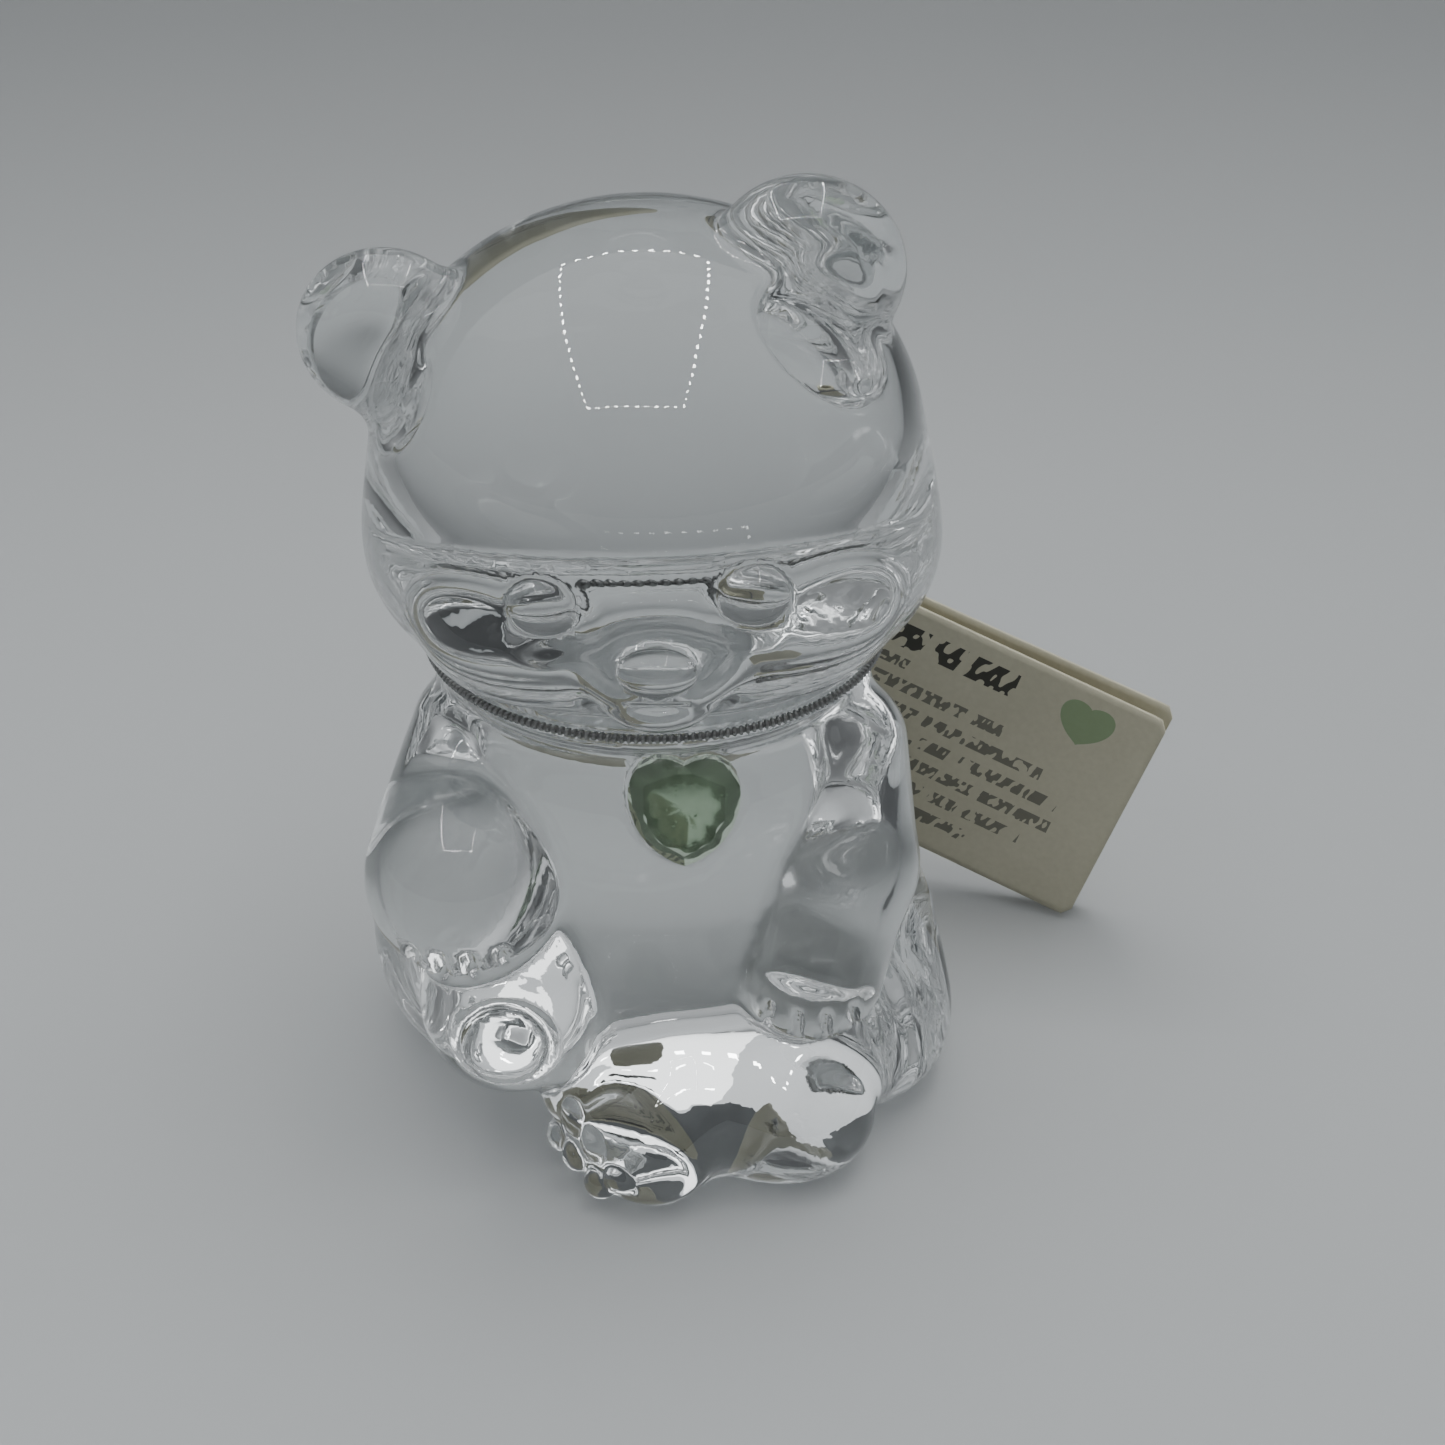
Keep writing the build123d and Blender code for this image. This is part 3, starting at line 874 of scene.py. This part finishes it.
# %% Tie loop through the card's hole
to_knot = (KNOT - (HOLE + UP * 5.2)).normalized()
start = KNOT - to_knot * 1.2
# distance out from the hole and height above it: down in front, through, and up behind
tie_steps = ((-0.85, 4.8), (-0.9, 2.2), (-0.8, 0.4), (0.0, -0.15), (0.7, 0.4), (0.75, 2.2),
             (0.75, 4.6))
tie_path = [start] + [HOLE + OUT * out + UP * rise for out, rise in tie_steps]
tie_path.append(start + UP * 0.5 + OUT * 0.6)
tie_core = tube_along("tie_core", tie_path, 0.15, elastic)
tie = wound_along("tie_winding", tie_path, 0.15, 0.09, 0.3)
for piece in (tie_core, tie):
    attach(piece, "tie")
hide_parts("tie_loop")
print("tie", len(tie.data.polygons), "faces")

# %% [markdown]
# ## Folded card
# The card is one strip of cream stock folded once. The fold stays with the front leaf, and
# the back leaf turns about the crease. Real card is never quite flat, so each leaf is a fine
# grid with a slight curl. Its print is generic: a dark heading, rows of broken marks and a
# plain green heart, drawn by the material from the leaf's own UV map in millimetres.

# %% Card materials
CARD_W, CARD_H, CARD_T = 50.8, 28.0, 0.35


def card_base(name):
    made, tree, shader = new_material(name)
    fibre = add_noise(tree, 1500.0, 5.0)
    cloud = add_noise(tree, 60.0)
    mixed = tree.nodes.new("ShaderNodeMath")
    mixed.operation = "MULTIPLY_ADD"
    mixed.inputs[1].default_value = 0.5
    tree.links.new(fibre, mixed.inputs[0])
    tree.links.new(cloud, mixed.inputs[2])
    ramp = add_ramp(tree, mixed.outputs[0], (0.53, 0.505, 0.38), (0.64, 0.61, 0.475))
    ramp.color_ramp.elements[0].position = 0.45
    tree.links.new(ramp.outputs["Color"], shader.inputs["Base Color"])
    add_bump(tree, shader, fibre, 0.35, 0.00008)
    shader.inputs["Roughness"].default_value = 0.78
    shader.inputs["Specular IOR Level"].default_value = 0.25
    return made, ramp


plain_card = card_base("cream_card")[0]
printed_card, ramp = card_base("printed_card")
print("card materials ready")


# %% Print on the front leaf: broken marks only, no lettering
def calc(tree, operation, a, b=None, c=None):
    """One Math node; numbers are set on it, sockets are linked to it."""
    made = tree.nodes.new("ShaderNodeMath")
    made.operation = operation
    for k, value in enumerate((a, b, c)):
        if value is None:
            continue
        if isinstance(value, (int, float)):
            made.inputs[k].default_value = value
        else:
            tree.links.new(value, made.inputs[k])
    return made.outputs[0]


def between(tree, value, low, high):
    above = calc(tree, "GREATER_THAN", value, low)
    return calc(tree, "MULTIPLY", above, calc(tree, "LESS_THAN", value, high))


tree = printed_card.node_tree
sheet_uv = tree.nodes.new("ShaderNodeUVMap")
sheet_uv.uv_map = "millimetres"
split = tree.nodes.new("ShaderNodeSeparateXYZ")
tree.links.new(sheet_uv.outputs["UV"], split.inputs["Vector"])
across = calc(tree, "MULTIPLY", split.outputs["X"], 100.0)
down = calc(tree, "MULTIPLY", split.outputs["Y"], 100.0)


def word_rows(tree, across, down, first, pitch, rows, height, centre, half_width, bow,
              stroke, seed):
    """Rows of broken dark marks, centred on the leaf, that only hint at words."""
    place = calc(tree, "DIVIDE", calc(tree, "SUBTRACT", down, first), pitch)
    row = calc(tree, "FLOOR", place)
    inside = between(tree, calc(tree, "FRACT", place), 0.0, height / pitch)
    inside = calc(tree, "MULTIPLY", inside, between(tree, row, -0.5, rows - 0.5))
    middle = calc(tree, "SUBTRACT", row, 2.6)
    reach = calc(tree, "MULTIPLY_ADD", calc(tree, "MULTIPLY", middle, middle), -bow, half_width)
    off = calc(tree, "ABSOLUTE", calc(tree, "SUBTRACT", across, centre))
    inside = calc(tree, "MULTIPLY", inside, calc(tree, "LESS_THAN", off, reach))
    slanted = calc(tree, "MULTIPLY_ADD", down, 0.25, across)
    # first the gaps between words, then the gaps between strokes
    for x_scale, y_scale, level, extra in ((0.5, 0.0, 0.36, 0.0),
                                           (stroke, stroke * 0.45, 0.46, 31.0)):
        spot = tree.nodes.new("ShaderNodeCombineXYZ")
        tree.links.new(calc(tree, "MULTIPLY", slanted, x_scale), spot.inputs["X"])
        tree.links.new(calc(tree, "MULTIPLY", down, y_scale), spot.inputs["Y"])
        tree.links.new(calc(tree, "MULTIPLY_ADD", row, 7.3, seed + extra), spot.inputs["Z"])
        noise = tree.nodes.new("ShaderNodeTexNoise")
        noise.inputs["Scale"].default_value = 1.0
        noise.inputs["Detail"].default_value = 0.0
        tree.links.new(spot.outputs["Vector"], noise.inputs["Vector"])
        inside = calc(tree, "MULTIPLY", inside, calc(tree, "GREATER_THAN", noise.outputs["Fac"], level))
    return inside


heading = word_rows(tree, across, down, 2.3, 9.0, 1, 3.0, 25.3, 10.3, 0.0, 1.15, 2.0)
sub_line = word_rows(tree, across, down, 6.4, 9.0, 1, 1.3, 21.2, 3.8, 0.0, 2.2, 5.0)
lines = word_rows(tree, across, down, 8.9, 2.9, 6, 1.55, 25.4, 19.6, 1.3, 1.9, 11.0)
heart_x = calc(tree, "DIVIDE", calc(tree, "SUBTRACT", across, 43.4), 2.5)
heart_y = calc(tree, "DIVIDE", calc(tree, "SUBTRACT", 4.9, down), 2.4)
x2 = calc(tree, "MULTIPLY", heart_x, heart_x)
y2 = calc(tree, "MULTIPLY", heart_y, heart_y)
bulk = calc(tree, "SUBTRACT", calc(tree, "ADD", x2, y2), 1.0)
bulk3 = calc(tree, "MULTIPLY", calc(tree, "MULTIPLY", bulk, bulk), bulk)
lift3 = calc(tree, "MULTIPLY", x2, calc(tree, "MULTIPLY", y2, heart_y))
in_heart = calc(tree, "LESS_THAN", bulk3, lift3)


def ink(tree, under, mask, colour, strength):
    """Lays one ink over the colour under it."""
    made = tree.nodes.new("ShaderNodeMix")
    made.data_type = "RGBA"
    tree.links.new(calc(tree, "MULTIPLY", mask, strength), made.inputs[0])
    tree.links.new(under, made.inputs[6])
    made.inputs[7].default_value = colour
    return made.outputs[2]


tone = ink(tree, ramp.outputs["Color"], in_heart, (0.20, 0.33, 0.16, 1), 0.75)
tone = ink(tree, tone, lines, (0.10, 0.10, 0.09, 1), 0.75)
tone = ink(tree, tone, sub_line, (0.10, 0.10, 0.09, 1), 0.8)
tone = ink(tree, tone, heading, (0.03, 0.03, 0.03, 1), 0.92)
tree.links.new(tone, tree.nodes["Principled BSDF"].inputs["Base Color"])
print("print has", len(tree.nodes), "nodes")


# %% Leaf builder
CARD_FOLD, CARD_AJAR, LEAF_GAP = 1.0, 1.5, 0.06
WEB = CARD_T + CARD_FOLD - LEAF_GAP


def leaf_mesh(name, corner, along, rise, out, folded, curl):
    """A thin sheet with rounded free corners; the front leaf also carries the round fold."""
    radius, cols, rows = 1.2, 64, 36
    turn = WEB - CARD_T if folded else 0.0
    stations = [("flat", s) for s in np.linspace(turn, CARD_W, cols)]
    if folded:
        stations = [("edge", 0.0)] + [("fold", a) for a in np.linspace(0, 90, 9)[:-1]] + stations
    outer, inner, spots = [], [], []
    for kind, s in stations:
        reach = s if kind == "flat" else 0.0
        past = max(reach - (CARD_W - radius), 0.0)
        trim = radius - math.sqrt(max(radius * radius - past * past, 0.0))
        for k in range(rows + 1):
            v = trim + (CARD_H - 2 * trim) * k / rows
            warp = curl * math.sin(math.pi * v / CARD_H) * (reach / CARD_W) ** 2
            if kind == "flat":
                ox, oo, ix, io = reach, warp, reach, CARD_T + warp
            elif kind == "fold":
                c, d = math.cos(math.radians(s)), math.sin(math.radians(s))
                ox, oo = turn * (1 - c), turn * (1 - d)
                ix, io = turn - (turn - CARD_T) * c, turn - (turn - CARD_T) * d
            else:
                ox, oo, ix, io = 0.0, WEB, CARD_T, WEB
            outer.append(corner + along * ox + rise * v + out * oo)
            inner.append(corner + along * ix + rise * v + out * io)
            spots.append((ox, CARD_H - v))
    n, m = len(stations), rows + 1
    verts = outer + inner
    faces, sides = [], []
    for i in range(n - 1):
        for k in range(rows):
            a, b, c, d = i * m + k, (i + 1) * m + k, (i + 1) * m + k + 1, i * m + k + 1
            faces.append((a, b, c, d))
            sides.append("out")
            faces.append((n * m + a, n * m + d, n * m + c, n * m + b))
            sides.append("in")
    for i in range(n - 1):
        for k, flip in ((0, False), (rows, True)):
            a, b = i * m + k, (i + 1) * m + k
            quad = (a, a + n * m, b + n * m, b)
            faces.append(quad[::-1] if flip else quad)
            sides.append("edge")
    for k in range(rows):
        for i, flip in ((0, True), (n - 1, False)):
            a, d = i * m + k, i * m + k + 1
            quad = (a, a + n * m, d + n * m, d)
            faces.append(quad if flip else quad[::-1])
            sides.append("edge")
    made = new_object(name, [v * MM for v in verts], faces)
    sheet = made.data.uv_layers.new(name="millimetres")
    for face in made.data.polygons:
        for corner_index in face.loop_indices:
            x, y = spots[made.data.loops[corner_index].vertex_index % (n * m)]
            sheet.data[corner_index].uv = (x / 100.0, y / 100.0)
    made.data.materials.append(plain_card)
    return made, sides


corner = CREASE - OUT * (CARD_T + CARD_FOLD + CARD_T / 2) - ALONG * (CARD_T / 2)
front, sides = leaf_mesh("card_front", corner, ALONG, RISE, OUT, True, 0.2)
front.data.materials.append(printed_card)
for face, side in zip(front.data.polygons, sides):
    face.material_index = 1 if side == "out" else 0
print("front leaf", len(front.data.polygons), "faces")

# %% Punch the tie's hole
HOLE_R = 0.9
bpy.ops.mesh.primitive_cylinder_add(vertices=40, radius=HOLE_R * MM, depth=3 * MM)
punch = bpy.context.object
punch.rotation_euler = OUT.to_track_quat("Z", "Y").to_euler()
punch.location = HOLE * MM
bore = front.modifiers.new("hole", "BOOLEAN")
bore.operation = "DIFFERENCE"
bore.solver = "EXACT"
bore.object = punch
bpy.context.view_layer.update()
graph = bpy.context.evaluated_depsgraph_get()
punched = bpy.data.meshes.new_from_object(front.evaluated_get(graph))
front.modifiers.remove(bore)
front.data = punched
bpy.data.objects.remove(punch)
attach(front, "tag")
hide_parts("tag_front_leaf")
print("punched leaf", len(front.data.polygons), "faces")

# %% Back leaf, standing a little open
ajar = math.radians(CARD_AJAR)
swung = ALONG * math.cos(ajar) + OUT * math.sin(ajar)
face_out = OUT * math.cos(ajar) - ALONG * math.sin(ajar)
back_corner = CREASE - face_out * (CARD_T / 2)
back_leaf, sides = leaf_mesh("card_back", back_corner, swung, RISE, face_out, False, 0.45)
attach(back_leaf, "tag_cover")
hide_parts("tag_back_leaf")
print("back leaf", len(back_leaf.data.polygons), "faces")
